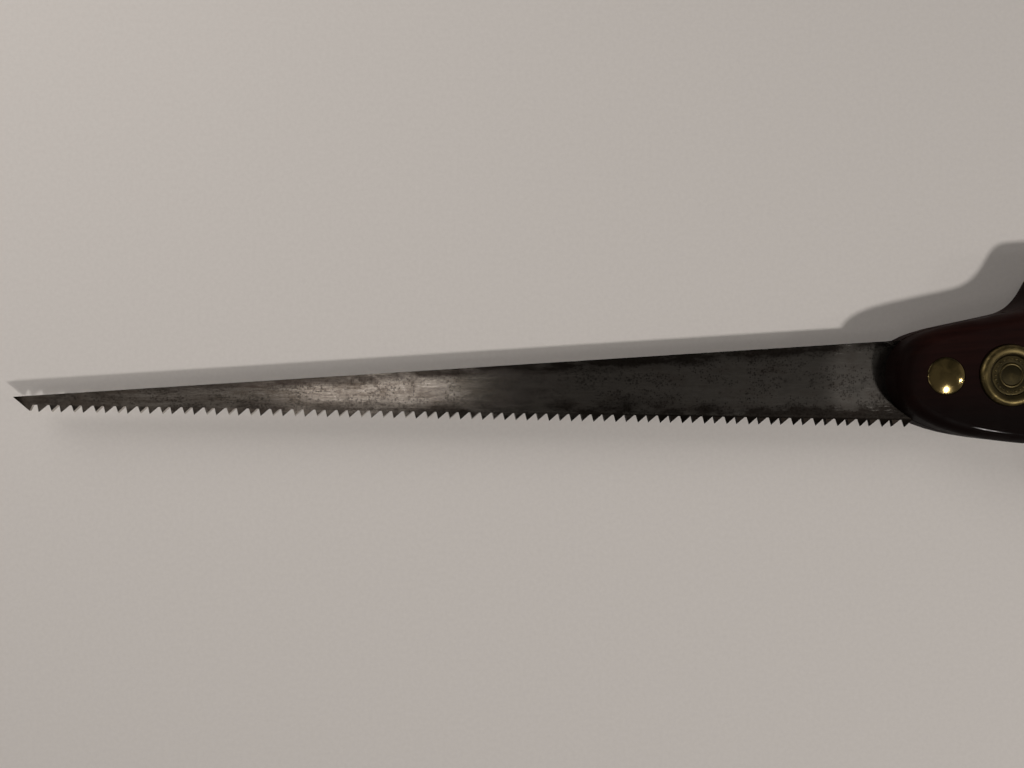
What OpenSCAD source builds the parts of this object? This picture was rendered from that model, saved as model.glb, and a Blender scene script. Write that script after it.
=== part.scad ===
// Keyhole saw with a fixed tapered blade in a one-piece wooden pistol handle, held by two brass saw screws.
// Saw coordinates: u runs from the front of the handle towards the back of the grip, v runs up from the
// tooth points, and w runs out of the blade's middle plane towards the side with the screw heads.

/* [Blade] */
// Length of the blade from the point of the toe to the heel
blade_len = 300; // [260:1:340]
// Depth of the blade at the front of the handle, from the tooth points to the back
heel_depth = 28.2; // [26:0.1:30]
// Height of the toe's point above the tooth points
toe_depth = 4.9; // [4.4:0.1:9]
// Thickness of the steel
blade_t = 1.1; // [0.8:0.05:1.6]
// Length of the slanted cut that makes the pointed toe
toe_cut = 6; // [4:0.2:9]
// Length of the bevel ground on the face of the toe, along the blade's back
toe_bevel = 4.6; // [3:0.2:6]
// Thickness left at the very point of the toe
toe_edge = 0.4; // [0.2:0.05:0.7]
// Length of the blade that is hidden in the handle, up to the heel
heel_cover = 12.6; // [11:0.1:15]
// How far the tang reaches behind the front of the handle
tang_reach = 43; // [41:0.5:45]

/* [Teeth] */
// Distance from one tooth to the next
tooth_pitch = 3.65; // [3.5:0.05:5]
// Height of a tooth above its gullet
tooth_h = 2.4; // [1.8:0.1:2.5]
// Angle of a tooth's cutting face from upright
tooth_rake = 16; // [8:1:18]
// Angle of a tooth's back from upright
tooth_back = 48; // [40:1:49]
// Angle of the file across the blade, turned the other way at each gullet
tooth_fleam = 18; // [0:1:25]
// How far a tooth's point is bent to its side
tooth_set = 0.28; // [0.1:0.02:0.4]

/* [Handle] */
// Thickness of the wood
handle_t = 22; // [20:0.5:25]
// Length of the cheek, from the front of the handle to the hollow below the horn
cheek_len = 43; // [42:0.5:46]
// Height of the cheek's upper edge at that hollow, above the tooth points
cheek_top = 39.8; // [38:0.2:43]
// How far the cheek's lower edge lies below the tooth points
cheek_drop = 4.3; // [3:0.1:6]
// Height of the horn above the tooth points
horn_top = 55.5; // [53:0.5:59]
// How far the point of the horn lies behind the front of the handle
horn_reach = 104; // [101:0.5:107]
// How far the point of the horn lies behind the middle of the grip
horn_back = 28; // [26:0.5:30]
// Depth of the horn, from its top to the hollow for the web of the hand
horn_depth = 12.2; // [11:0.2:14]
// Height of the horn's top above the upper end of the grip
web_drop = 34.5; // [33:0.5:36]
// Width of the grip, from its front to its back
grip_w = 29; // [27:0.5:32]
// Length of the grip, from its upper end to the flare at its foot
grip_len = 72; // [66:1:80]
// Slant of the grip from upright, its lower end going back
grip_slant = 25; // [20:1:28]
// Radius worked on the edges of the cheek
cheek_round = 4; // [3:0.2:5]
// Radius worked on the edges of the grip
grip_round = 9.5; // [7:0.5:10]
// Radius worked on the edges of the grip's flared foot
foot_round = 4.5; // [3:0.5:6]

/* [Saw screws] */
// Distance of the front screw behind the front of the handle
screw_in = 14.4; // [14:0.2:16]
// Height of the front screw above the tooth points
screw_up = 16.9; // [15:0.1:18]
// Distance between the two screws
screw_gap = 20.2; // [18:0.1:22]
// How much higher the rear screw sits than the front one
screw_rise = 0.6; // [0:0.1:2]
// Diameter of the front screw's domed head
head_d = 11.8; // [11:0.1:13]
// Height of the front screw's dome above the wood
head_dome = 0.9; // [0.6:0.1:1.4]
// Depth of the seat cut in the wood for the front screw's head
head_seat = 1.2; // [0.8:0.1:2]
// Width of the square neck below a head
neck_w = 5.6; // [5.2:0.1:6]
// Length of the square neck below a head
neck_len = 3.4; // [2.5:0.1:4]
// Diameter of a screw's threaded shank
shank_d = 4.6; // [4:0.1:4.8]
// Diameter of a nut's barrel
barrel_d = 6.6; // [6.2:0.1:7.2]
// How far a nut's barrel reaches past the blade
barrel_past = 2.4; // [1.5:0.1:3]
// Diameter of a nut's slotted head
nut_d = 12; // [11:0.1:13]
// Thickness of a nut's slotted head
nut_t = 1.5; // [1.3:0.1:2]
// Width of the screwdriver slot
slot_w = 1.3; // [1:0.1:1.6]
// Depth of the screwdriver slot
slot_d = 0.8; // [0.5:0.1:0.9]

/* [Medallion] */
// Diameter of the rear screw's wide head
medallion_d = 19.5; // [18:0.1:20]
// Depth of the seat cut in the wood for the wide head
medallion_seat = 1.4; // [1.2:0.1:2]
// Height of the wide head's raised rim above the wood
rim_h = 1.5; // [1.1:0.1:2]
// Diameter of the pressed disc inside the rim
disc_d = 12.7; // [11.5:0.1:13]
// Depth of the disc's underside below the face of the wood
disc_sunk = 0.35; // [0.2:0.05:0.6]
// Thickness of the pressed disc
disc_t = 0.8; // [0.6:0.1:1]
// Radius at the middle of the disc's raised ring
ring_r = 3.55; // [3:0.05:4]
// Width of the disc's raised ring
ring_w = 1; // [0.6:0.1:1.2]
// Height of the disc's raised ring and beads
ring_h = 0.25; // [0.15:0.05:0.4]
// Number of beads round the disc
beads = 24; // [16:1:28]
// Radius of a bead
bead_r = 0.32; // [0.2:0.02:0.36]

/* [Clearances] */
// Gap round metal parts let into the wood
wood_gap = 0.06; // [0.03:0.01:0.1]
// Gap between a shank and its nut
thread_gap = 0.05; // [0.03:0.01:0.1]
// Gap round the barrels in the blade's holes
hole_gap = 0.15; // [0.1:0.05:0.3]
// Gap round the pressed disc
disc_gap = 0.03; // [0.02:0.01:0.06]
// Depth of a nut's face below the wood
nut_sunk = 0.1; // [0.05:0.05:0.3]

/* [Hidden] */

$fn = 64;
curve_steps = 8;
edge_steps = 5;
overcut = 1;

face_w = handle_t / 2;
toe_u = heel_cover - blade_len;
toe_foot_u = toe_u + toe_cut;
front_screw_at = [screw_in, screw_up];
medallion_at = front_screw_at + [screw_gap, screw_rise];

// The back of the blade is one straight line from toe to tang
function back_v(u) = heel_depth + (heel_depth - toe_depth) * u / -toe_u;

// Teeth run from the toe's foot to just inside the front of the handle
toe_foot_v = 0.4;
plain_toe = 3.2;
plain_heel = 5;
first_tooth_u = toe_foot_u + plain_toe;
tooth_count = floor((heel_cover - plain_heel - first_tooth_u) / tooth_pitch) + 1;
tooth_root = 0.5;

// The slot is cut by a round saw that enters from the front, and the screws draw its sides onto the blade
kerf_r = 60;
kerf_past = 1.5;
kerf_at = [tang_reach + kerf_past - kerf_r, heel_depth / 2];
tang_corner = 6;

// Depths along a screw, measured from the middle plane
head_under = face_w - head_seat;
medallion_under = face_w - medallion_seat;
nut_under = -face_w + nut_sunk + nut_t;
barrel_end = blade_t / 2 + barrel_past;
nut_web = 0.4;
thread_room = 1;
bore_floor = nut_under + nut_web;
shank_end = bore_floor + thread_room;
rim_round = 1.4;
disc_floor = face_w - disc_sunk;
disc_top = disc_floor + disc_t;

// Grip axis: it starts below the horn and runs down and back
grip_dir = [sin(grip_slant), -cos(grip_slant)];
grip_side = [cos(grip_slant), sin(grip_slant)];
grip_head = [horn_reach - horn_back, horn_top - web_drop];
horn_rise = horn_top - cheek_top;
nose_v = (cheek_top - cheek_drop) / 2 - 0.12 * cheek_drop;

// Points of the handle's outline, each as [place, heading, reach before, reach after, radius of its edge].
// Places and reaches are shares of the part of the handle that they belong to.
cheek_points = [
    [[0, nose_v], 90, 0.31, 0.34, cheek_round],
    [[0.885 * cheek_len, cheek_top - 0.1 * horn_rise], 14, 0.6, 0.115, cheek_round],
    [[1.14 * cheek_len, cheek_top + 0.44 * horn_rise], 60, 0.14, 0.08, cheek_round],
    [[1.325 * cheek_len, horn_top - 0.07 * horn_rise], 7, 0.115, 0.28, cheek_round]
];
horn_points = [
    [[horn_reach - 0.36 * horn_back, horn_top], -1, 0.43, 0.18, cheek_round],
    [[horn_reach, horn_top - 0.57 * horn_depth], -100, 0.13, 0.085, 0.8 * cheek_round],
    [[horn_reach - 0.2 * horn_back, horn_top - horn_depth], -158, 0.093, 0.143, cheek_round]
];
grip_points = [
    [[-0.028, 0.466], -12, 0.125, 0.167, grip_round],
    [[0.444, 0.569], -3, 0.194, 0.181, grip_round],
    [[0.889, 0.655], 22, 0.139, 0.069, 1.4 * foot_round],
    [[1.042, 0.741], -30, 0.056, 0.049, 0.9 * foot_round],
    [[1.111, 0.466], -85, 0.069, 0.111, 1.1 * foot_round],
    [[1.049, -0.466], -112, 0.097, 0.042, foot_round],
    [[0.931, -0.586], 175, 0.056, 0.111, 1.3 * foot_round],
    [[0.5, -0.569], 180, 0.181, 0.181, grip_round],
    [[0.167, -0.472], 182, 0.111, 0.097, 0.8 * grip_round],
    [[-0.029, -0.727], 245, 0.083, 0.0625, cheek_round]
];
foot_points = [
    [[1.17 * cheek_len, 0.07 * cheek_drop], -97, 0.14, 0.06, 0.8 * cheek_round],
    [[1.037 * cheek_len, -1.02 * cheek_drop], -183, 0.07, 0.745, 0.85 * cheek_round]
];

// Outline of the handle, clockwise from its front
function scaled(list, size) = [for (n = list) [n[0], n[1], n[2] * size, n[3] * size, n[4]]];
function on_grip(n) = grip_head + n[0] * grip_len * grip_dir + n[1] * grip_w * grip_side;
outline_nodes = [
    each scaled(cheek_points, cheek_len),
    each scaled(horn_points, horn_back),
    for (n = scaled(grip_points, grip_len)) [on_grip(n[0]), n[1] + grip_slant - 90, n[2], n[3], n[4]],
    each scaled(foot_points, cheek_len)
];

function bezier(a, b, c, d, t) =
    pow(1 - t, 3) * a + 3 * pow(1 - t, 2) * t * b + 3 * (1 - t) * t * t * c + pow(t, 3) * d;
function step_on(n, reach) = reach * [cos(n[1]), sin(n[1])];
function between(a, b, t) = bezier(a[0], a[0] + step_on(a, a[3]), b[0] - step_on(b, b[2]), b[0], t);
function eased(a, b, t) = a + (b - a) * t * t * (3 - 2 * t);

node_count = len(outline_nodes);
outline = [
    for (i = [0 : node_count - 1], k = [0 : curve_steps - 1])
        between(outline_nodes[i], outline_nodes[(i + 1) % node_count], k / curve_steps)
];
edge_radii = [
    for (i = [0 : node_count - 1], k = [0 : curve_steps - 1])
        eased(outline_nodes[i][4], outline_nodes[(i + 1) % node_count][4], k / curve_steps)
];
points = len(outline);
function unit(p) = p / norm(p);
inward = [
    for (i = [0 : points - 1])
        let (along = unit(outline[(i + 1) % points] - outline[(i + points - 1) % points]))
        [along[1], -along[0]]
];

// Each ring round the handle is the outline drawn in by the rounding of its edge. The first and last
// rings rise past the flat faces, which the board's own faces then cut off.
ring_overrun = 0.06;
ring_angles = [
    for (k = [0 : edge_steps]) [-1, 90 - 90 * k / edge_steps],
    for (k = [0 : edge_steps]) [1, 90 * k / edge_steps]
];
function ring(side, angle) = [
    for (i = [0 : points - 1])
        let (r = edge_radii[i],
             p = outline[i] + r * (1 - cos(angle)) * inward[i],
             overrun = angle == 90 ? ring_overrun * r : 0)
        [p[0], p[1], side * (face_w - r * (1 - sin(angle)) + overrun)]
];

// The origin is at the middle of the saw's footprint, on the surface that the handle lies on
high_u = max([for (p = outline) p[0]]);
low_v = min([for (p = outline) p[1]]);
high_v = max([for (p = outline) p[1]]);
mid_u = (toe_u + high_u) / 2;
mid_v = (low_v + high_v) / 2;
module placed() {
    translate([-mid_u, -mid_v, face_w]) children();
}

// One tooth with its point at the origin. Both filed faces lean across the blade, so the point is on the
// side that the tooth is bent to
module tooth(side) {
    half = blade_t / 2;
    lean = tan(tooth_fleam);
    slopes = tan(tooth_rake) + tan(tooth_back);
    // How far each filed face is drawn in on this side of the blade
    function drawn_in(w) = lean * (half - side * w);
    function crest(w) = 2 * drawn_in(w) / slopes;
    corners = [for (w = [-half, half]) each [
        [drawn_in(w) - tooth_h * tan(tooth_rake), tooth_h + tooth_root, w],
        [drawn_in(w) - tooth_h * tan(tooth_rake), tooth_h, w],
        [drawn_in(w) - crest(w) * tan(tooth_rake), crest(w), w + side * tooth_set],
        [tooth_h * tan(tooth_back) - drawn_in(w), tooth_h, w],
        [tooth_h * tan(tooth_back) - drawn_in(w), tooth_h + tooth_root, w]
    ]];
    polyhedron(
        points = corners,
        faces = [
            [0, 1, 2, 3, 4], [9, 8, 7, 6, 5],
            [0, 5, 6, 1], [1, 6, 7, 2], [2, 7, 8, 3], [3, 8, 9, 4], [4, 9, 5, 0]
        ]);
}

module blade_plate() {
    linear_extrude(blade_t, center = true) polygon([
        [toe_u, toe_depth],
        [toe_foot_u, toe_foot_v],
        [toe_foot_u + 1, tooth_h],
        [tang_reach - tang_corner, tooth_h],
        [tang_reach, tooth_h + tang_corner],
        [tang_reach, back_v(tang_reach) - tang_corner],
        [tang_reach - tang_corner, back_v(tang_reach - tang_corner)]
    ]);
}

// Wedge that takes the bevel off the toe's face, hinged on a line from the back to the toe's foot
module toe_wedge() {
    hinge_lean = atan2(toe_cut - toe_bevel, toe_depth - toe_foot_v);
    bevel_slope = atan2(blade_t - toe_edge, toe_bevel);
    translate([toe_foot_u, toe_foot_v, blade_t / 2])
        rotate(hinge_lean)
            rotate([0, -bevel_slope, 0])
                translate([-2 * toe_bevel, -toe_depth, 0])
                    cube([2 * toe_bevel, 3 * toe_depth, blade_t]);
}

module blade() {
    color("#55504a") placed() difference() {
        union() {
            blade_plate();
            for (i = [0 : tooth_count - 1])
                translate([first_tooth_u + i * tooth_pitch, 0, 0]) tooth(i % 2 == 0 ? 1 : -1);
        }
        for (at = [front_screw_at, medallion_at])
            translate([at[0], at[1], 0])
                cylinder(d = barrel_d + 2 * hole_gap, h = blade_t + 2 * overcut, center = true);
        toe_wedge();
    }
}

module handle_blank() {
    rings = [for (r = ring_angles) each ring(r[0], r[1])];
    ring_count = len(ring_angles);
    polyhedron(
        points = rings,
        faces = [
            [for (i = [0 : points - 1]) i],
            for (j = [0 : ring_count - 2], i = [0 : points - 1])
                [j * points + i, (j + 1) * points + i,
                 (j + 1) * points + (i + 1) % points, j * points + (i + 1) % points],
            [for (i = [points - 1 : -1 : 0]) (ring_count - 1) * points + i]
        ]);
}

// Seats and bores for one saw screw: a seat for the head, a square hole for the neck, and from the other
// side a stepped bore for the nut, its barrel and the shank
module screw_bores(at, d, under) {
    neck_hole = neck_w + 2 * wood_gap;
    translate([at[0], at[1], 0]) {
        translate([0, 0, under]) cylinder(d = d + 2 * wood_gap, h = face_w);
        translate([-neck_hole / 2, -neck_hole / 2, under - neck_len - wood_gap])
            cube([neck_hole, neck_hole, neck_len + head_seat / 2]);
        rotate_extrude() polygon([
            [0, -handle_t],
            [nut_d / 2 + wood_gap, -handle_t],
            [nut_d / 2 + wood_gap, nut_under],
            [barrel_d / 2 + wood_gap, nut_under],
            [barrel_d / 2 + wood_gap, barrel_end + wood_gap],
            [shank_d / 2 + wood_gap, barrel_end + wood_gap],
            [shank_d / 2 + wood_gap, under - neck_len / 2],
            [0, under - neck_len / 2]
        ]);
    }
}

// Board that the handle is sawn from, with the slot and the screws' seats already cut
module drilled_board() {
    board_low = [-overcut, low_v - overcut, -face_w];
    board_high = [high_u + overcut, high_v + overcut, face_w];
    difference() {
        translate(board_low) cube(board_high - board_low);
        translate([kerf_at[0], kerf_at[1], 0]) cylinder(r = kerf_r, h = blade_t, center = true, $fn = 128);
        screw_bores(front_screw_at, head_d, head_under);
        screw_bores(medallion_at, medallion_d, medallion_under);
    }
}

module handle() {
    color("#3a1512") placed() intersection() {
        handle_blank();
        drilled_board();
    }
}

// Square neck and shank below a head
module screw_stem(under) {
    translate([-neck_w / 2, -neck_w / 2, under - neck_len]) cube([neck_w, neck_w, neck_len]);
    translate([0, 0, shank_end]) cylinder(d = shank_d, h = under - neck_len / 2 - shank_end);
}

module front_screw() {
    dome_r = (pow(head_d / 2, 2) + pow(head_dome, 2)) / (2 * head_dome);
    color("#a58f4a") placed() translate([front_screw_at[0], front_screw_at[1], 0]) {
        intersection() {
            translate([0, 0, face_w + head_dome - dome_r]) sphere(r = dome_r);
            translate([0, 0, head_under]) cylinder(d = head_d, h = head_seat + 2 * head_dome);
        }
        screw_stem(head_under);
    }
}

// Nut with a slotted head and a barrel that is bored for the shank
module saw_nut(at) {
    nut_face = nut_under - nut_t;
    bore_r = shank_d / 2 + thread_gap;
    color("#9c8745") placed() translate([at[0], at[1], 0]) difference() {
        rotate_extrude() polygon([
            [0, nut_face],
            [nut_d / 2, nut_face],
            [nut_d / 2, nut_under],
            [barrel_d / 2, nut_under],
            [barrel_d / 2, barrel_end],
            [bore_r, barrel_end],
            [bore_r, bore_floor],
            [0, bore_floor]
        ]);
        translate([-nut_d, -slot_w / 2, nut_face - slot_d]) cube([2 * nut_d, slot_w, 2 * slot_d]);
    }
}

module front_nut() {
    saw_nut(front_screw_at);
}

module medallion_nut() {
    saw_nut(medallion_at);
}

// Wide head: a rounded outer wall, a raised rim and a dished slope down to the disc
module medallion_screw() {
    rim_r = medallion_d / 2;
    pocket_r = disc_d / 2 + disc_gap;
    rim_top = face_w + rim_h;
    crest_r = rim_r - rim_round;
    slope_w = crest_r - pocket_r;
    slope_h = rim_top - disc_top;
    color("#a58f4a") placed() translate([medallion_at[0], medallion_at[1], 0]) {
        rotate_extrude() polygon([
            [0, medallion_under],
            [rim_r, medallion_under],
            for (a = [0 : 15 : 90]) [crest_r + rim_round * cos(a), rim_top - rim_round * (1 - sin(a))],
            for (a = [15 : 15 : 90]) [crest_r - slope_w * sin(a), disc_top + slope_h * cos(a)],
            [pocket_r, disc_floor],
            [0, disc_floor]
        ]);
        screw_stem(medallion_under);
    }
}

module medallion_disc() {
    color("#8f7d40") placed() translate([medallion_at[0], medallion_at[1], disc_floor]) {
        cylinder(d = disc_d, h = disc_t);
        difference() {
            cylinder(r = ring_r + ring_w / 2, h = disc_t + ring_h);
            translate([0, 0, disc_t / 2]) cylinder(r = ring_r - ring_w / 2, h = disc_t);
        }
        for (i = [0 : beads - 1])
            rotate(360 * i / beads)
                translate([(ring_r + ring_w / 2 + disc_d / 2) / 2, 0, disc_t]) sphere(r = bead_r, $fn = 16);
    }
}

blade();
handle();
front_screw();
front_nut();
medallion_screw();
medallion_disc();
medallion_nut();
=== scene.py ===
from math import asin, cos, degrees, pi, radians, sin, tan

import bpy
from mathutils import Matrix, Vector


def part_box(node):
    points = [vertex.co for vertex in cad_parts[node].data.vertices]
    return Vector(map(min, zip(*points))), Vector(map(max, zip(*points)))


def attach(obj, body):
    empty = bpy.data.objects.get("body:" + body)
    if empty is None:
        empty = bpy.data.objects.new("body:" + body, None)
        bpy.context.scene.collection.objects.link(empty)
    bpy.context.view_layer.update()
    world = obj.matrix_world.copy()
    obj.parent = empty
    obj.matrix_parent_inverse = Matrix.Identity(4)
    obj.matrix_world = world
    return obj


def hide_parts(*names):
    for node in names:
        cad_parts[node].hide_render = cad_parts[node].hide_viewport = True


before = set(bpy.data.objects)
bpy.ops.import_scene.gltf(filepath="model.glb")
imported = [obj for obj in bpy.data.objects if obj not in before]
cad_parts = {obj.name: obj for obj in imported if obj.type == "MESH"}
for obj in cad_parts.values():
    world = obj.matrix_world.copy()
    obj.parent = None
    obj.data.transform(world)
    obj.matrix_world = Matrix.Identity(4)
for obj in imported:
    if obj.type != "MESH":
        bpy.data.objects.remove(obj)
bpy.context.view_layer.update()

# Camera: straight above the blade, as the photograph was taken, and turned a little so that the tooth line
# falls to the right. It is placed in the saw's own coordinates, as every piece is.
MM = 0.001
handle_low, handle_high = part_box("handle")
blade_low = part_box("blade")[0]
saw_zero = Vector((handle_low.x, blade_low.y, (handle_low.z + handle_high.z) / 2))


def at(u=0, v=0, w=0):
    """In millimetres, u runs back from the front of the handle, v up from the tooth points, and w out of the
    blade's middle plane towards the screw heads."""
    return saw_zero + Vector((u, v, w)) * MM


photo_middle_u, photo_middle_v, camera_height = -122.7, 12, 253.8
photo_field = radians(67.3)
photo_roll = radians(1)
camera_data = bpy.data.cameras.new("overhead_camera")
camera_data.sensor_width = 36
camera_data.lens = camera_data.sensor_width / 2 / tan(photo_field / 2)
camera_data.clip_start = 0.01
camera = bpy.data.objects.new("overhead_camera", camera_data)
camera.location = at(photo_middle_u, photo_middle_v, camera_height)
camera.rotation_euler = (0, 0, photo_roll)
bpy.context.scene.collection.objects.link(camera)
bpy.context.scene.camera = camera
bpy.context.scene.view_settings.view_transform = "Standard"


# Blade: rolled steel, ground to a taper towards the toe, with filed and set teeth. Old patina has darkened
# and pitted it. Towards the toe the teeth are still bright from the file, and by the handle they are black.
def only(piece):
    bpy.ops.object.select_all(action="DESELECT")
    piece.select_set(True)
    bpy.context.view_layer.objects.active = piece


def merged_copy(node_name, name):
    piece = bpy.data.objects.new(name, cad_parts[node_name].data.copy())
    bpy.context.scene.collection.objects.link(piece)
    only(piece)
    bpy.ops.object.mode_set(mode="EDIT")
    bpy.ops.mesh.select_all(action="SELECT")
    bpy.ops.mesh.remove_doubles(threshold=0.002 * MM)
    bpy.ops.mesh.dissolve_limited(angle_limit=radians(0.5))
    bpy.ops.object.mode_set(mode="OBJECT")
    return piece


def soften_edges(piece, width, angle):
    only(piece)
    bevel = piece.modifiers.new("worn_edges", "BEVEL")
    bevel.width = width * MM
    bevel.segments = 2
    bevel.limit_method = "ANGLE"
    bevel.angle_limit = radians(angle)
    bpy.ops.object.modifier_apply(modifier=bevel.name)
    bpy.ops.object.shade_smooth_by_angle(angle=radians(angle))
    weighted = piece.modifiers.new("flat_faces_stay_flat", "WEIGHTED_NORMAL")
    weighted.keep_sharp = True
    bpy.ops.object.modifier_apply(modifier=weighted.name)


def set_inputs(tree, made, inputs):
    for name, value in inputs.items():
        if isinstance(value, bpy.types.NodeSocket):
            tree.links.new(value, made.inputs[name])
        else:
            made.inputs[name].default_value = value


def put(tree, kind, inputs, **settings):
    """A new node with its settings and inputs, as the sockets that it puts out."""
    made = tree.nodes.new(kind)
    for name, value in settings.items():
        setattr(made, name, value)
    set_inputs(tree, made, inputs)
    return made.outputs


def maths(tree, operation, first, *others, clamp=False):
    """The operation on the first two values, then on its result and the next value."""
    for other in others:
        first = put(tree, "ShaderNodeMath", {0: first, 1: other}, operation=operation, use_clamp=clamp)[0]
    return first


def plus(tree, *values, clamp=False):
    return maths(tree, "ADD", *values, clamp=clamp)


def minus(tree, value, less, clamp=False):
    return maths(tree, "SUBTRACT", value, less, clamp=clamp)


def times(tree, *values, clamp=False):
    return maths(tree, "MULTIPLY", *values, clamp=clamp)


def largest(tree, *values):
    return maths(tree, "MAXIMUM", *values)


def unsigned(tree, value):
    return put(tree, "ShaderNodeMath", {0: value}, operation="ABSOLUTE")[0]


def mixed(tree, share, colour, other_colour):
    return put(tree, "ShaderNodeMix", {0: share, 6: colour, 7: other_colour}, data_type="RGBA")[2]


def ranged(tree, value, low, high, to_low=0.0, to_high=1.0):
    return put(tree, "ShaderNodeMapRange", {0: value, 1: low, 2: high, 3: to_low, 4: to_high})[0]


def split(tree, vector):
    return put(tree, "ShaderNodeSeparateXYZ", {0: vector})


def stretched(tree, vector, scale, turn=(0, 0, 0), move=(0, 0, 0)):
    return put(tree, "ShaderNodeMapping", {"Vector": vector, "Location": move, "Rotation": turn,
                                           "Scale": scale})[0]


def noise(tree, vector, scale, detail, roughness, distortion=0.0):
    return put(tree, "ShaderNodeTexNoise", {"Vector": vector, "Scale": scale, "Detail": detail,
                                            "Roughness": roughness, "Distortion": distortion})[0]


def in_saw_mm(tree, place):
    """The place on the piece in the saw's coordinates, in millimetres."""
    from_zero = put(tree, "ShaderNodeVectorMath", {0: place, 1: saw_zero}, operation="SUBTRACT")[0]
    return put(tree, "ShaderNodeVectorMath", {0: from_zero, "Scale": 1 / MM}, operation="SCALE")[0]


def new_material(name):
    material = bpy.data.materials.new(name)
    material.use_nodes = True
    tree = material.node_tree
    place = put(tree, "ShaderNodeTexCoord", {})["Object"]
    return material, tree, tree.nodes["Principled BSDF"], place


def bumped(tree, height, depth):
    return put(tree, "ShaderNodeBump", {"Height": height, "Distance": depth * MM, "Strength": 1.0})[0]


def finish_with(piece, material):
    piece.data.materials.clear()
    piece.data.materials.append(material)


def new_group(name, inputs, outputs):
    """The inputs and outputs are the sockets' names with their kinds."""
    group = bpy.data.node_groups.new(name, "ShaderNodeTree")
    for in_out, sockets in [("INPUT", inputs), ("OUTPUT", outputs)]:
        for label, kind in sockets.items():
            group.interface.new_socket(label, in_out=in_out, socket_type="NodeSocket" + kind)
    return group, group.nodes.new("NodeGroupInput").outputs, group.nodes.new("NodeGroupOutput")


def pits(tree, vector, scale, share):
    """Round spots in some of a Voronoi pattern's cells, from none at a share of 0 to all of them at 1."""
    cells = put(tree, "ShaderNodeTexVoronoi", {"Vector": vector, "Scale": scale})
    chance = put(tree, "ShaderNodeSeparateColor", {0: cells["Color"]})[0]
    round_spot = ranged(tree, cells["Distance"], 0.18, 0.6, 1.0, 0.0)
    return times(tree, round_spot, ranged(tree, minus(tree, share, chance), 0.0, 0.25))


# Grime: small round pits where rust has bitten, crowded into clusters, and a soft dark film round them
grime, grime_in, grime_out = new_group(
    "grime", {"Vector": "Vector", "Crowding": "Float"}, {"Pits": "Float", "Film": "Float"})
grime_place = stretched(grime, grime_in["Vector"], (0.5, 1.0, 1.0))
clusters = noise(grime, grime_place, 170.0, 5.0, 0.62)
jitter = put(grime, "ShaderNodeTexNoise", {"Vector": grime_place, "Scale": 1500.0})["Color"]
jitter = put(grime, "ShaderNodeVectorMath", {0: jitter, "Scale": 0.7 * MM}, operation="SCALE")[0]
shaken = put(grime, "ShaderNodeVectorMath", {0: grime_in["Vector"], 1: jitter}, operation="ADD")[0]
pit_share = plus(grime, times(grime, grime_in["Crowding"], 0.22),
                 ranged(grime, clusters, 0.42, 0.6, 0.08, 1.0))
big_pits = pits(grime, shaken, 800.0, times(grime, pit_share, 0.4))
small_pits = pits(grime, shaken, 1500.0, pit_share)
pit_film = times(grime, grime_in["Crowding"], ranged(grime, clusters, 0.35, 0.6, 0.2, 1.0), clamp=True)
set_inputs(grime, grime_out, {"Pits": times(grime, largest(grime, big_pits, small_pits), 0.72),
                              "Film": pit_film})

# Rubbing: fine straight scratches along one direction, broken into runs
rubbing, rubbing_in, rubbing_out = new_group(
    "rubbing", {"Vector": "Vector", "Fineness": "Float"}, {"Marks": "Float"})
long_place = stretched(rubbing, rubbing_in["Vector"], (0.06, 1.3, 1.0))
short_place = stretched(rubbing, rubbing_in["Vector"], (0.25, 1.8, 1.0), turn=(0, 0, radians(4)))
long_marks = noise(rubbing, long_place, rubbing_in["Fineness"], 6.0, 0.65)
short_marks = noise(rubbing, short_place, rubbing_in["Fineness"], 5.0, 0.6)
set_inputs(rubbing, rubbing_out, {"Marks": plus(rubbing, times(rubbing, long_marks, 0.6),
                                                times(rubbing, short_marks, 0.4))})

old_blade = merged_copy("blade", "old_blade")
soften_edges(old_blade, 0.1, 25)
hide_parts("blade")
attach(old_blade, "root")

blade_steel, tree, shader, place = new_material("blade_steel")
tooth_depth = 2.4
back_at_handle, back_slope = 28.2, 23.3 / 287.4
toe_edge, toe_slant = -281.6, 0.47
where = split(tree, in_saw_mm(tree, place))
along = where["X"]
above_teeth = minus(tree, where["Y"], tooth_depth)
below_back = minus(tree, plus(tree, times(tree, along, back_slope), back_at_handle), where["Y"])
from_toe_edge = minus(tree, plus(tree, along, times(tree, above_teeth, toe_slant)), toe_edge)
# The toe's bevel is painted darker and browner, as painted shade of the facet
toe_bevel_shade = ranged(tree, from_toe_edge, 0.0, 1.0, 0.4, 0.0)

# The grime keeps to a band along the back and one along the teeth, which wander and widen towards the handle.
# Beside the handle, above the teeth, the steel is rubbed cleaner.
wander = noise(tree, stretched(tree, place, (0.4, 1.0, 1.0), move=(0.11, 0.07, 0)), 55.0, 4.0, 0.6)
to_handle = ranged(tree, along, -185, -70)
below_band = minus(tree, below_back, ranged(tree, to_handle, 0.0, 1.0, 1.3, 2.2))
by_back = ranged(tree, plus(tree, below_band, times(tree, wander, -6)), -3.6, -0.6, 1.5, 0.0)
above_band = minus(tree, above_teeth, times(tree, to_handle, 1.8))
by_teeth = ranged(tree, plus(tree, above_band, times(tree, wander, -9)), -5, 0.4, 1.4, 0.0)
by_teeth = times(tree, by_teeth, ranged(tree, along, -75, -25, 1.0, 2.0))
by_handle = ranged(tree, plus(tree, along, times(tree, wander, 22)), -10, -3.5)
by_handle = times(tree, by_handle, ranged(tree, above_teeth, 1, 6))
crowding = plus(tree, by_teeth, by_back, times(tree, by_handle, -0.5))
crowding = times(tree, crowding, ranged(tree, along, -275, -200, 0.3, 1.0))
steel_grime = put(tree, "ShaderNodeGroup", {"Vector": place, "Crowding": crowding}, node_tree=grime)
film_strength = ranged(tree, along, -200, -125, 0.55, 0.9)
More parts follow.
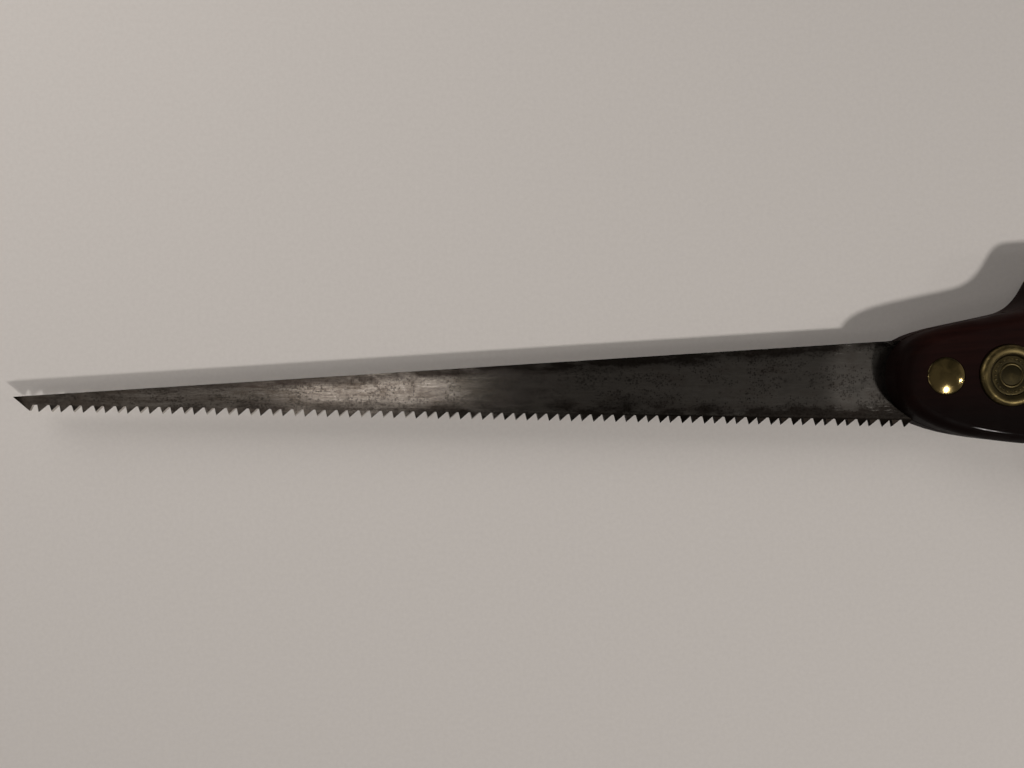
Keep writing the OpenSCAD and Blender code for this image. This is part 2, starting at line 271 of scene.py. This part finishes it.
# On and just above the teeth the steel is darker and duller towards the handle
teeth_darkening = times(tree, ranged(tree, above_teeth, 0.2, 1.2, 1.0, 0.0), to_handle)
film = largest(tree, times(tree, steel_grime["Film"], film_strength), teeth_darkening)

# Streaks run along the blade and are broken up by fine grain. Stains lie over them, and scratches cross them.
rub_marks = put(tree, "ShaderNodeGroup", {"Vector": place, "Fineness": 900.0}, node_tree=rubbing)["Marks"]
fine_grain = noise(tree, stretched(tree, place, (0.35, 1.2, 1.0)), 2600.0, 3.0, 0.6)
streaks = plus(tree, ranged(tree, rub_marks, 0.4, 0.62), ranged(tree, fine_grain, 0.3, 0.7, -0.45, 0.45),
               clamp=True)
stain = noise(tree, stretched(tree, place, (0.5, 1.0, 1.0), move=(0.3, 0.1, 0)), 190.0, 5.0, 0.7, 0.4)
scratch_place = stretched(tree, place, (0.3, 1.6, 1.0), turn=(0, 0, radians(38)))
scratches = times(tree, ranged(tree, noise(tree, scratch_place, 800.0, 3.0, 0.7), 0.6, 0.68), by_handle)

# The file has left the slanted faces of the teeth bright
steel_facing = split(tree, put(tree, "ShaderNodeNewGeometry", {})["Normal"])
filed = times(tree, ranged(tree, unsigned(tree, steel_facing["Z"]), 0.4, 0.8, 0.9, 0.0),
              ranged(tree, above_teeth, 0.0, 0.4, 1.0, 0.0), ranged(tree, along, -160, -120, 1.0, 0.0))

dark_steel = (0.107, 0.089, 0.075, 1)
grey_steel = (0.204, 0.181, 0.16, 1)
bare_steel_and_painted_sheen = (0.318, 0.297, 0.271, 1)
filed_steel = (0.62, 0.59, 0.55, 1)
rust_brown_and_shade = (0.062, 0.043, 0.031, 1)
grime_black = (0.02, 0.015, 0.012, 1)
tooth_black = (0.003, 0.0025, 0.002, 1)
# Towards the handle the steel is painted lighter, a painted reflection in place of room light. Beside the
# handle it is also rubbed barer.
barer_and_painted_sheen = plus(tree, times(tree, by_handle, 0.15), times(tree, to_handle, 0.55))
steel_colour = mixed(tree, streaks, dark_steel, grey_steel)
steel_colour = mixed(tree, barer_and_painted_sheen, steel_colour, bare_steel_and_painted_sheen)
steel_colour = mixed(tree, ranged(tree, stain, 0.48, 0.72, 0.0, 0.6), steel_colour, rust_brown_and_shade)
steel_colour = mixed(tree, film, steel_colour, grime_black)
steel_colour = mixed(tree, steel_grime["Pits"], steel_colour, grime_black)
steel_colour = mixed(tree, times(tree, teeth_darkening, 0.8), steel_colour, tooth_black)
steel_colour = mixed(tree, scratches, steel_colour, bare_steel_and_painted_sheen)
steel_colour = mixed(tree, filed, steel_colour, filed_steel)
# Painted shade on the toe's bevel
steel_colour = mixed(tree, toe_bevel_shade, steel_colour, rust_brown_and_shade)
steel_dullness = plus(tree, ranged(tree, stain, 0.3, 0.7, 0.15, 0.21), times(tree, film, 0.08),
                      times(tree, by_handle, 0.05), times(tree, teeth_darkening, 0.15), clamp=True)
steel_height = minus(tree, times(tree, rub_marks, 0.5), steel_grime["Pits"])
set_inputs(tree, shader, {"Base Color": steel_colour, "Metallic": 1.0, "Roughness": steel_dullness,
                          "Normal": bumped(tree, steel_height, 0.0035)})
finish_with(old_blade, blade_steel)


# Handle: sawn from one board of dark hardwood, its edges rounded by rasp and scraper, most of all where the
# hand grips it, and varnished. The blade's slot and the screws' seats are cut into it.
face_w = (handle_high.z - handle_low.z) / 2 / MM
cheek_len, cheek_top, cheek_drop = 43, 39.8, 4.3
horn_top, horn_reach, horn_back, horn_depth = 55.5, 104, 28, 12.2
grip_w, grip_len, grip_slant = 29, 72, 25
cheek_round, grip_round, foot_round = 4, 9.5, 4.5
web_drop = 34.5
horn_rise = horn_top - cheek_top
nose_v = (cheek_top - cheek_drop) / 2 - 0.12 * cheek_drop
grip_head = Vector((horn_reach - horn_back, horn_top - web_drop))
grip_dir = Vector((sin(radians(grip_slant)), -cos(radians(grip_slant))))
grip_side = Vector((cos(radians(grip_slant)), sin(radians(grip_slant))))

# Points of the outline: place, heading, reach before and after it, and the radius worked on the edge there.
# Reaches are shares of the cheek's length, the horn's back or the grip's length.
outline_points = []
for u, v, heading, before, after, radius in [
        (0, nose_v, 90, 0.31, 0.34, cheek_round),
        (0.885 * cheek_len, cheek_top - 0.1 * horn_rise, 14, 0.6, 0.115, cheek_round),
        (1.14 * cheek_len, cheek_top + 0.44 * horn_rise, 60, 0.14, 0.08, cheek_round),
        (1.325 * cheek_len, horn_top - 0.07 * horn_rise, 7, 0.115, 0.28, cheek_round)]:
    outline_points.append((Vector((u, v)), heading, before * cheek_len, after * cheek_len, radius))
for u, v, heading, before, after, radius in [
        (horn_reach - 0.36 * horn_back, horn_top, -1, 0.43, 0.18, cheek_round),
        (horn_reach, horn_top - 0.57 * horn_depth, -100, 0.13, 0.085, 0.8 * cheek_round),
        (horn_reach - 0.2 * horn_back, horn_top - horn_depth, -158, 0.093, 0.143, cheek_round)]:
    outline_points.append((Vector((u, v)), heading, before * horn_back, after * horn_back, radius))
for down_grip, across_grip, turn, before, after, radius in [
        (-0.028, 0.466, -12, 0.125, 0.167, grip_round),
        (0.444, 0.569, -3, 0.194, 0.181, grip_round),
        (0.889, 0.655, 22, 0.139, 0.069, 1.4 * foot_round),
        (1.042, 0.741, -30, 0.056, 0.049, 0.9 * foot_round),
        (1.111, 0.466, -85, 0.069, 0.111, 1.1 * foot_round),
        (1.049, -0.466, -112, 0.097, 0.042, foot_round),
        (0.931, -0.586, 175, 0.056, 0.111, 1.3 * foot_round),
        (0.5, -0.569, 180, 0.181, 0.181, grip_round),
        (0.167, -0.472, 182, 0.111, 0.097, 0.8 * grip_round),
        (-0.029, -0.727, 245, 0.083, 0.0625, cheek_round)]:
    spot = grip_head + down_grip * grip_len * grip_dir + across_grip * grip_w * grip_side
    outline_points.append((spot, turn + grip_slant - 90, before * grip_len, after * grip_len, radius))
for u, v, heading, before, after, radius in [
        (1.17 * cheek_len, 0.07 * cheek_drop, -97, 0.14, 0.06, 0.8 * cheek_round),
        (1.037 * cheek_len, -1.02 * cheek_drop, -183, 0.07, 0.745, 0.85 * cheek_round)]:
    outline_points.append((Vector((u, v)), heading, before * cheek_len, after * cheek_len, radius))


def reach_on(heading, reach):
    return reach * Vector((cos(radians(heading)), sin(radians(heading))))


# Between two points the outline is a Bezier curve, and the radius eases from one to the other
curve_steps = 14
outline, edge_radii = [], []
for here, there in zip(outline_points, outline_points[1:] + outline_points[:1]):
    start, heading, _, after, radius = here
    end, next_heading, before, _, next_radius = there
    pull = start + reach_on(heading, after)
    next_pull = end - reach_on(next_heading, before)
    for k in range(curve_steps):
        t = k / curve_steps
        outline.append((1 - t) ** 3 * start + 3 * (1 - t) ** 2 * t * pull
                       + 3 * (1 - t) * t * t * next_pull + t ** 3 * end)
        edge_radii.append(radius + (next_radius - radius) * t * t * (3 - 2 * t))
outline_count = len(outline)
inward = []
for i in range(outline_count):
    forward = (outline[(i + 1) % outline_count] - outline[i - 1]).normalized()
    inward.append(Vector((forward.y, -forward.x)))

# The rounded edge is one sheet wrapped round the outline, from one flat side to the other
edge_steps = 9
sheet_steps = 2 * edge_steps + 1
bpy.ops.object.select_all(action="DESELECT")
bpy.ops.mesh.primitive_grid_add(x_subdivisions=outline_count, y_subdivisions=sheet_steps, size=2)
wood_handle = bpy.context.object
wood_handle.name = "wood_handle"
for vertex in wood_handle.data.vertices:
    i = round((vertex.co.x + 1) / 2 * outline_count) % outline_count
    j = round((vertex.co.y + 1) / 2 * sheet_steps)
    side = -1 if j <= edge_steps else 1
    step = j if j <= edge_steps else sheet_steps - j
    angle = pi / 2 * (1 - step / edge_steps)
    radius = edge_radii[i]
    spot = outline[i] + radius * (1 - cos(angle)) * inward[i]
    vertex.co = at(spot.x, spot.y, side * (face_w - radius * (1 - sin(angle))))
wood_handle.location = (0, 0, 0)
bpy.ops.object.mode_set(mode="EDIT")
bpy.ops.mesh.select_all(action="SELECT")
bpy.ops.mesh.remove_doubles(threshold=0.0005 * MM)
bpy.ops.mesh.select_all(action="DESELECT")
bpy.ops.mesh.select_non_manifold(extend=False)
bpy.ops.mesh.edge_face_add()
bpy.ops.mesh.select_all(action="SELECT")
bpy.ops.mesh.normals_make_consistent(inside=False)
bpy.ops.object.mode_set(mode="OBJECT")

# The slot is the cut of a round saw and ends in its arc. The screws' seats and holes are bored.
slot_t, slot_r, slot_v, tang_end = 1.24, 60, 14.1, 44.5
screw_u, screw_v = 14.4, 16.9
medallion_u, medallion_v = screw_u + 20.2, screw_v + 0.6
head_d, head_seat, head_dome = 11.8, 1.2, 0.9
medallion_d, medallion_seat = 19.5, 1.4
nut_d, nut_t, nut_sunk, barrel_d = 12, 1.5, 0.1, 6.6
seat_gap = 0.14


def cut_round(piece, radius, u, v, low_w, high_w, corners=96):
    bpy.ops.object.select_all(action="DESELECT")
    bpy.ops.mesh.primitive_cylinder_add(vertices=corners, radius=radius * MM, depth=(high_w - low_w) * MM,
                                        location=at(u, v, (low_w + high_w) / 2))
    cutter = bpy.context.object
    only(piece)
    cut = piece.modifiers.new("cut", "BOOLEAN")
    cut.operation = "DIFFERENCE"
    cut.solver = "EXACT"
    cut.object = cutter
    bpy.ops.object.modifier_apply(modifier=cut.name)
    bpy.data.objects.remove(cutter)


outside_w = face_w + 1
cut_round(wood_handle, slot_r, tang_end - slot_r, slot_v, -slot_t / 2, slot_t / 2, corners=256)
cut_round(wood_handle, head_d / 2 + seat_gap, screw_u, screw_v, face_w - head_seat, outside_w)
cut_round(wood_handle, medallion_d / 2 + seat_gap, medallion_u, medallion_v, face_w - medallion_seat,
          outside_w)
for u, v in [(screw_u, screw_v), (medallion_u, medallion_v)]:
    cut_round(wood_handle, nut_d / 2 + seat_gap, u, v, -outside_w, -face_w + nut_sunk + nut_t)
    cut_round(wood_handle, barrel_d / 2 + seat_gap, u, v, -outside_w, outside_w)
soften_edges(wood_handle, 0.16, 42)
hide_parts("handle")
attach(wood_handle, "root")

# The grain runs along the cheek, a little aslant, with fine fibres and dark pores
handle_wood, tree, shader, place = new_material("handle_wood")
board = stretched(tree, place, (1.0, 1.0, 1.0), turn=(radians(8), 0, radians(-5)))
growth = put(tree, "ShaderNodeTexWave", {
    "Vector": stretched(tree, board, (0.12, 1.0, 1.6)), "Scale": 95.0, "Distortion": 7.0, "Detail": 3.0,
    "Detail Scale": 1.4, "Detail Roughness": 0.6}, bands_direction="Y")["Fac"]
fibre = noise(tree, stretched(tree, board, (0.05, 1.0, 1.0)), 1500.0, 5.0, 0.6)
pore_place = stretched(tree, board, (0.06, 1.0, 1.0), move=(0.2, 0.4, 0.1))
pores = ranged(tree, noise(tree, pore_place, 2300.0, 2.0, 0.5), 0.66, 0.74)
tint = noise(tree, stretched(tree, board, (0.5, 1.0, 1.0)), 38.0, 3.0, 0.55)
worn = noise(tree, place, 120.0, 6.0, 0.65)
dents = noise(tree, place, 210.0, 4.0, 0.5)

# Halfway round the worked edges the wood is paler here and there: rubbed wear, and a painted sheen on the
# roundings
where = split(tree, in_saw_mm(tree, place))
facing = split(tree, put(tree, "ShaderNodeNewGeometry", {})["Normal"])
flatness = unsigned(tree, facing["Z"])
edge_wear_and_sheen = times(tree, ranged(tree, flatness, 0.55, 0.97, 1.0, 0.0), ranged(tree, flatness, 0.15, 0.6),
                  ranged(tree, worn, 0.48, 0.66))

# Darker are the end grain and the pores, and painted shade darkens the roundings that face down, the lower
# edge and the nose
end_grain = ranged(tree, unsigned(tree, facing["X"]), 0.35, 0.95, 0.0, 0.8)
painted_shade_underside = times(tree, ranged(tree, flatness, 0.75, 1.0, 0.5, 0.0),
                       ranged(tree, facing["Y"], 0.0, 0.4, 1.0, 0.0))
painted_shade_low = ranged(tree, where["Y"], 4, 27, 0.92, 0.0)
painted_shade_nose = ranged(tree, where["X"], 3, 11, 0.8, 0.0)
pores_grain_and_painted_shade = largest(tree, times(tree, pores, 0.6), end_grain, painted_shade_underside, painted_shade_low, painted_shade_nose)

deep_wood = (0.0085, 0.003, 0.0026, 1)
red_wood = (0.021, 0.0066, 0.0052, 1)
warm_wood = (0.03, 0.0105, 0.007, 1)
pore_and_shade_black = (0.0035, 0.0018, 0.0015, 1)
wood_colour = mixed(tree, ranged(tree, growth, 0.0, 1.0, 0.4, 0.85), deep_wood, red_wood)
wood_colour = mixed(tree, ranged(tree, fibre, 0.45, 0.75, 0.0, 0.35), wood_colour, warm_wood)
wood_colour = mixed(tree, ranged(tree, tint, 0.4, 0.7, 0.0, 0.6), wood_colour, deep_wood)
# The paler edges are rubbed wear and a painted sheen
wood_colour = mixed(tree, times(tree, edge_wear_and_sheen, 0.45), wood_colour, warm_wood)
# The pores, the end grain and the painted shade take the near-black colour
wood_colour = mixed(tree, pores_grain_and_painted_shade, wood_colour, pore_and_shade_black)
varnish_patches = noise(tree, place, 330.0, 4.0, 0.7)
varnish = times(tree, ranged(tree, varnish_patches, 0.36, 0.64, 0.03, 0.17),
                ranged(tree, where["X"], 23, 28))
wood_height = minus(tree, plus(tree, times(tree, fibre, 0.25), times(tree, dents, 0.9)),
                    times(tree, pores, 0.6))
set_inputs(tree, shader, {"Base Color": wood_colour, "Roughness": ranged(tree, worn, 0.35, 0.7, 0.5, 0.65),
                          "Specular IOR Level": 0.03, "Coat Weight": varnish, "Coat Roughness": 0.07,
                          "Normal": bumped(tree, wood_height, 0.05)})
finish_with(wood_handle, handle_wood)


# Front saw screw: turned brass with a smooth domed head, a neck that bites into the wood and a threaded
# shank. The dome is rubbed clean by handling and tarnished in patches.
neck_d, neck_len, shank_d = 5.6, 3.4, 4.6
shank_from_nut = 1.4
dome_share, head_lip = 0.975, 0.05
shank_end_w = -face_w + nut_sunk + nut_t + shank_from_nut


def turned(name, section, u, v, steps=96):
    """One closed half section of (radius, height) points, spun round the screw's axis."""
    bpy.ops.object.select_all(action="DESELECT")
    bpy.ops.mesh.primitive_circle_add(vertices=len(section), radius=1, fill_type="NOTHING")
    piece = bpy.context.object
    piece.name = name
    for vertex, (radius, w) in zip(piece.data.vertices, section):
        vertex.co = at(u + radius, v, w)
    bpy.ops.object.mode_set(mode="EDIT")
    bpy.ops.mesh.select_all(action="SELECT")
    bpy.ops.mesh.spin(steps=steps, angle=2 * pi, center=at(u, v), axis=(0, 0, 1))
    bpy.ops.mesh.select_all(action="SELECT")
    bpy.ops.mesh.remove_doubles(threshold=0.001 * MM)
    bpy.ops.mesh.normals_make_consistent(inside=False)
    bpy.ops.object.mode_set(mode="OBJECT")
    return piece


def arc(middle_r, middle_w, radius_r, radius_w, start, end, steps):
    """Points of a section's curve, from one angle to another. Its two radii differ where it is flattened."""
    points = []
    for k in range(steps + 1):
        angle = radians(start + (end - start) * k / steps)
        points.append((middle_r + radius_r * cos(angle), middle_w + radius_w * sin(angle)))
    return points


def stem(under_w):
    return [(neck_d / 2, under_w), (neck_d / 2, under_w - neck_len), (shank_d / 2, under_w - neck_len),
            (shank_d / 2, shank_end_w), (0, shank_end_w)]


head_r = head_d / 2
dome_r = (head_r ** 2 + head_dome ** 2) / (2 * head_dome)
dome_middle_w = face_w + head_dome - dome_r
dome_angle = dome_share * degrees(asin(head_r / dome_r))
head_under = face_w - head_seat
dome = arc(0, dome_middle_w, dome_r, dome_r, 90, 90 - dome_angle, 16)
head_section = dome + [(head_r, face_w - head_lip), (head_r, head_under)] + stem(head_under)
brass_screw = turned("brass_screw", head_section, screw_u, screw_v)
soften_edges(brass_screw, 0.05, 30)
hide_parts("front_screw")
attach(brass_screw, "root")

# Tarnish: the clean metal below a brown film, which is thickest in patches and in the hollows
tarnish, tarnish_in, tarnish_out = new_group(
    "tarnish", {"Vector": "Vector", "Hollow": "Float", "Amount": "Float", "Dullness": "Float"},
    {"Color": "Color", "Roughness": "Float", "Height": "Float"})
smear = noise(tarnish, tarnish_in["Vector"], 260.0, 5.0, 0.6, 0.6)
speckle = noise(tarnish, tarnish_in["Vector"], 1900.0, 3.0, 0.6)
brown_film = plus(tarnish, times(tarnish, ranged(tarnish, smear, 0.4, 0.66), tarnish_in["Amount"]),
                  times(tarnish, ranged(tarnish, speckle, 0.55, 0.75), 0.25), tarnish_in["Hollow"])
clean_brass = (0.5, 0.37, 0.15, 1)
brown_brass = (0.083, 0.063, 0.027, 1)
deep_tarnish = (0.03, 0.024, 0.012, 1)
brass_colour = mixed(tarnish, brown_film, clean_brass, brown_brass)
brass_colour = mixed(tarnish, minus(tarnish, brown_film, 1.0, clamp=True), brass_colour, deep_tarnish)
set_inputs(tarnish, tarnish_out, {
    "Color": brass_colour,
    "Roughness": plus(tarnish, ranged(tarnish, brown_film, 0.0, 1.0, 0.0, 0.12), tarnish_in["Dullness"]),
    "Height": plus(tarnish, times(tarnish, smear, 0.5), times(tarnish, speckle, 0.12))})


def brass_material(name, clean_w, hollow_w, amount, dullness, least=0.0, bowl=None):
    """The brass is cleanest at the height clean_w and a tarnished hollow at hollow_w. amount is the strength
    of the patches, least the tarnish that is all over it, and dullness the roughness where it is clean. With
    a bowl, given as (u, v, radius), only the inside of that circle is a hollow."""
    material, tree, shader, place = new_material(name)
    saw_place = in_saw_mm(tree, place)
    hollow = ranged(tree, split(tree, saw_place)["Z"], clean_w, hollow_w, 0.0, 0.9)
    if bowl:
        u, v, radius = bowl
        flat_place = put(tree, "ShaderNodeVectorMath", {0: saw_place, 1: (1, 1, 0)}, operation="MULTIPLY")[0]
        from_axis = put(tree, "ShaderNodeVectorMath", {0: flat_place, 1: (u, v, 0)}, operation="DISTANCE")
        inside = ranged(tree, from_axis["Value"], radius - 0.3, radius + 0.3, 1.0, 0.0)
        hollow = times(tree, hollow, inside)
    skin = put(tree, "ShaderNodeGroup", {"Vector": place, "Hollow": plus(tree, hollow, least),
                                         "Amount": amount, "Dullness": dullness}, node_tree=tarnish)
    set_inputs(tree, shader, {"Base Color": skin["Color"], "Metallic": 1.0, "Roughness": skin["Roughness"],
                              "Normal": bumped(tree, skin["Height"], 0.008)})
    return material


finish_with(brass_screw, brass_material("screw_brass", face_w + 0.25, face_w - 0.05, 0.65, 0.085))


# Rear saw screw: turned brass with a wide head, whose raised rim slopes inwards to the seat of the pressed
# disc. The rim's crest is rubbed a little cleaner, and its inner slope holds the most tarnish.
rim_h, rim_round = 1.5, 1.4
disc_d, disc_t, disc_sunk, disc_gap = 12.7, 0.8, 0.35, 0.03
pocket_lip = 0.02
rim_r = medallion_d / 2
crest_r = rim_r - rim_round
rim_top = face_w + rim_h
disc_floor = face_w - disc_sunk
disc_top = disc_floor + disc_t
pocket_r = disc_d / 2 + disc_gap
medallion_under = face_w - medallion_seat
pocket = [(0, disc_floor), (pocket_r, disc_floor), (pocket_r, disc_top - pocket_lip)]
inner_slope = arc(crest_r, disc_top, pocket_r - crest_r, rim_top - disc_top, 0, 90, 14)
outer_wall = arc(crest_r, rim_top - rim_round, rim_round, rim_round, 90, 0, 14)
rim_section = pocket + inner_slope + outer_wall[1:] + [(rim_r, medallion_under)] + stem(medallion_under)
medallion_head = turned("medallion_head", rim_section, medallion_u, medallion_v, steps=128)
soften_edges(medallion_head, 0.04, 30)
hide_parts("medallion_screw")
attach(medallion_head, "root")
finish_with(medallion_head, brass_material("rim_brass", rim_top + 0.2, disc_top + 0.2, 0.45, 0.32, least=0.76,
                                           bowl=(medallion_u, medallion_v, crest_r)))


# Medallion disc: pressed from thin brass sheet, with a raised ring and a round of beads between the ring and
# the rim, and a bare, slightly domed middle.
ring_r, ring_w, ring_h = 3.55, 1.0, 0.25
bead_count, bead_r = 24, 0.4
middle_dome, disc_edge, disc_edge_drop = 0.12, 0.25, 0.1
middle_steps, ring_steps, ring_fullness = 8, 12, 0.7
field_w = disc_top
disc_r = disc_d / 2
ring_in, ring_out = ring_r - ring_w / 2, ring_r + ring_w / 2
middle, ring = [], []
for k in range(middle_steps):
    share = k / middle_steps
    middle.append((ring_in * share, field_w + middle_dome * cos(pi / 2 * share)))
for k in range(ring_steps + 1):
    share = k / ring_steps
    ring.append((ring_in + ring_w * share, field_w + ring_h * sin(pi * share) ** ring_fullness))
edge_roll = arc(disc_r - disc_edge, field_w - disc_edge_drop, disc_edge, disc_edge, 90, 0, 6)
disc_section = middle + ring + edge_roll + [(disc_r, disc_floor), (0, disc_floor)]
pressed_disc = turned("pressed_disc", disc_section, medallion_u, medallion_v, steps=128)
bead_ring_r = (ring_out + disc_r) / 2
beads = []
for k in range(bead_count):
    turn = 2 * pi * k / bead_count
    bead_place = at(medallion_u + bead_ring_r * cos(turn), medallion_v + bead_ring_r * sin(turn), field_w)
    bpy.ops.object.select_all(action="DESELECT")
    bpy.ops.mesh.primitive_uv_sphere_add(segments=20, ring_count=12, radius=bead_r * MM, location=bead_place)
    bpy.ops.object.transform_apply(location=True, rotation=False, scale=False)
    beads.append(bpy.context.object)
only(pressed_disc)
for bead in beads:
    bead.select_set(True)
bpy.ops.object.join()
bpy.ops.object.shade_smooth_by_angle(angle=radians(38))
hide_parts("medallion_disc")
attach(pressed_disc, "root")
finish_with(pressed_disc, brass_material("disc_brass", field_w + 0.3, field_w + 0.02, 0.6, 0.26, least=0.9))


# Saw nuts: turned brass, let in flush on the other side. Each has a screwdriver slot, and a barrel that goes
# through the wood and the blade round the screw's shank.
blade_t, barrel_past_blade = 1.1, 2.4
slot_w, slot_d = 1.3, 0.8
nut_edge, thread_gap, thread_from_head = 0.2, 0.05, 0.4
nut_face_w = -face_w + nut_sunk
nut_under_w = nut_face_w + nut_t
barrel_end_w = blade_t / 2 + barrel_past_blade
thread_start_w = nut_under_w + thread_from_head
nut_bore_r = shank_d / 2 + thread_gap
nut_section = arc(nut_d / 2 - nut_edge, nut_face_w + nut_edge, nut_edge, nut_edge, -90, 0, 5)
nut_section += [(nut_d / 2, nut_under_w), (barrel_d / 2, nut_under_w), (barrel_d / 2, barrel_end_w)]
nut_section += [(nut_bore_r, barrel_end_w), (nut_bore_r, thread_start_w), (0, thread_start_w),
                (0, nut_face_w)]
nut_brass = brass_material("nut_brass", nut_face_w, nut_face_w + 0.3, 0.85, 0.16)
for name, node, u, v in [("slotted_front_nut", "front_nut", screw_u, screw_v),
                         ("slotted_rear_nut", "medallion_nut", medallion_u, medallion_v)]:
    nut = turned(name, nut_section, u, v)
    bpy.ops.object.select_all(action="DESELECT")
    bpy.ops.mesh.primitive_cube_add(size=1, location=at(u, v, nut_face_w))
    slot_cutter = bpy.context.object
    slot_cutter.scale = (2 * nut_d * MM, slot_w * MM, 2 * slot_d * MM)
    only(nut)
    slot_cut = nut.modifiers.new("slot", "BOOLEAN")
    slot_cut.operation = "DIFFERENCE"
    slot_cut.solver = "EXACT"
    slot_cut.object = slot_cutter
    bpy.ops.object.modifier_apply(modifier=slot_cut.name)
    bpy.data.objects.remove(slot_cutter)
    soften_edges(nut, 0.06, 35)
    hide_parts(node)
    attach(nut, "root")
    finish_with(nut, nut_brass)


# Floor and room: a plain pale floor that blends into a background of one colour. The camera sees that
# background all round, and polished metal mirrors it low down. Overhead the room is dim.
background = (0.42, 0.395, 0.37, 1)
dim_room = (0.066, 0.063, 0.059, 1)
pale_paper, paler_paper = (0.755, 0.71, 0.68, 1), (0.79, 0.745, 0.715, 1)
black = (0, 0, 0, 1)
floor_size, floor_gap = 5, 0.1 * MM
bpy.ops.object.select_all(action="DESELECT")
bpy.ops.mesh.primitive_plane_add(size=floor_size, location=(0, 0, -floor_gap))
floor = bpy.context.object
floor.name = "floor"
floor_paper, tree, shader, place = new_material("floor_paper")
paper_grain = noise(tree, place, 700.0, 4.0, 0.6)
paper_colour = mixed(tree, ranged(tree, paper_grain, 0.3, 0.7), pale_paper, paler_paper)
from_middle = put(tree, "ShaderNodeVectorMath", {0: place}, operation="LENGTH")["Value"]
far_off = ranged(tree, from_middle, 0.3, 0.85)
rays = put(tree, "ShaderNodeLightPath", {})
seen = largest(tree, rays["Is Camera Ray"], rays["Is Glossy Ray"])
set_inputs(tree, shader, {"Base Color": mixed(tree, far_off, paper_colour, black), "Roughness": 0.85,
                          "Specular IOR Level": 0.2, "Emission Strength": 1.0,
                          "Emission Color": mixed(tree, times(tree, far_off, seen), black, background)})
finish_with(floor, floor_paper)

room = bpy.data.worlds.new("dim_room")
room.use_nodes = True
tree = room.node_tree
rays = put(tree, "ShaderNodeLightPath", {})
direction = split(tree, put(tree, "ShaderNodeTexCoord", {})["Generated"])
low_down = ranged(tree, direction["Z"], 0.15, 0.6, 0.8, 0.0)
seen = largest(tree, rays["Is Camera Ray"], times(tree, rays["Is Glossy Ray"], low_down))
set_inputs(tree, tree.nodes["Background"], {"Color": mixed(tree, seen, dim_room, background),
                                            "Strength": 1.0})
bpy.context.scene.world = room


# Lamps: soft discs. The main lamp stands to the right and in front, and casts the shadow, and the left lamp
# fills it in. The blade mirrors the ceiling and wall lamps in its left half, and its filed teeth mirror the
# front lamp. The side lamp is a glint in the brass.
def lamp(name, aim, direction, distance, size, watts):
    data = bpy.data.lights.new(name, "AREA")
    data.shape = "ELLIPSE"
    data.size, data.size_y = size
    data.energy = watts
    data.color = (1, 0.97, 0.93)
    hung = bpy.data.objects.new(name, data)
    away = Vector(direction).normalized()
    hung.location = aim + away * distance
    hung.rotation_euler = away.to_track_quat("Z", "Y").to_euler()
    bpy.context.scene.collection.objects.link(hung)


lamp("main_lamp", at(15, 17), (0.57, -0.45, 1.0), 1.3, (0.1, 0.1), 6.9)
lamp("left_lamp", at(-300, 10), (-0.5, 0.9, 0.8), 0.6, (0.5, 0.5), 1.6)
lamp("ceiling_lamp", at(-174, 10), (-0.17, 0.0, 1.0), 0.62, (0.06, 0.19), 0.1)
lamp("wall_lamp", at(-400, 10), (-0.17, 0.0, 1.0), 0.5, (0.27, 0.34), 0.08)
lamp("front_lamp", at(-310, 2), (0.0, -0.326, 1.0), 0.643, (0.4, 0.1), 0.15)
lamp("side_lamp", at(15, 17, 10), (0.827, -0.088, 0.556), 0.9, (0.04, 0.04), 0.25)
